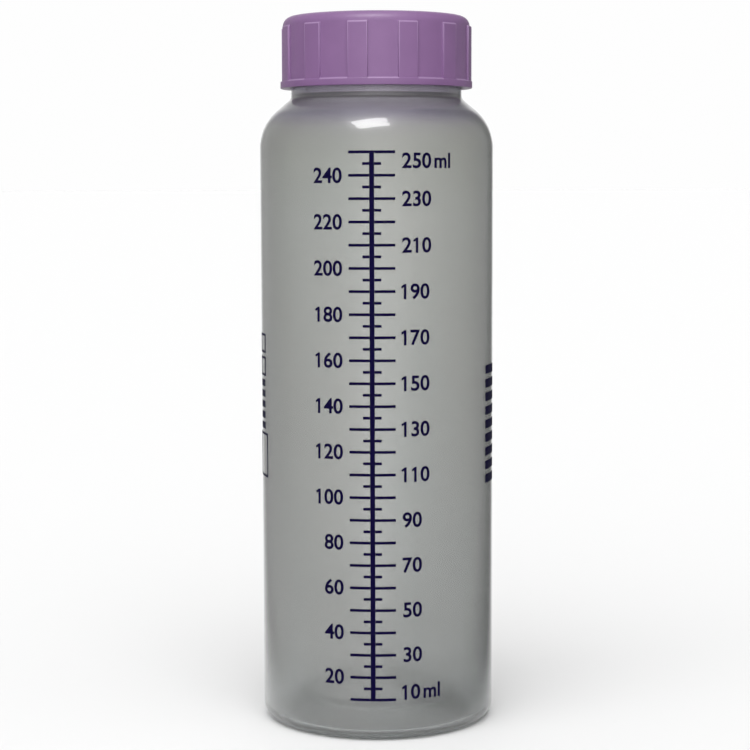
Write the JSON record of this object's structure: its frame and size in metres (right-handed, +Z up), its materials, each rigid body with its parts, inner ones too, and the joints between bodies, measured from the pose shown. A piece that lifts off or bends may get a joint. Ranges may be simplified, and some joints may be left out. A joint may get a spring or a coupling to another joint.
{
  "type": "graduated screw-cap bottle",
  "caption": "Translucent cylindrical plastic bottle with a printed volume scale, closed by a ribbed screw cap over a loose sealing disc.",
  "frame": {"origin": "centre of the base, on the surface that the bottle stands on", "axes": "+Z up the bottle's axis towards the cap, -Y towards the graduation"},
  "size_m": [0.0526, 0.0526, 0.1592],
  "materials": {
    "bottle_plastic": "translucent natural polypropylene, smooth, soft sheen",
    "cap_plastic": "opaque lavender polypropylene, satin, fine grain",
    "disc_plastic": "soft white foamed polyethylene",
    "ink": "thin dark violet screen-printed ink"
  },
  "bodies": {
    "bottle": {"bottle": "bottle_plastic", "graduation": "ink", "lot_box": "ink", "name_bars": "ink"},
    "disc": {"sealing_disc": "disc_plastic"},
    "cap": {"screw_cap": "cap_plastic"}
  },
  "joints": [
    {"name": "cap_rise", "type": "slide", "parent": "bottle", "child": "disc", "axis": [0, 0, 1], "range_m": [0, 0.02]},
    {"name": "cap_turn", "type": "hinge", "parent": "disc", "child": "cap", "pos_m": [0, 0, 0.15], "axis": [0, 0, 1], "range_deg": [0, 1800]}
  ],
  "couplings": [
    {"joint": "cap_rise", "follows": "cap_turn", "m_per_rad": 0.00063662}
  ]
}
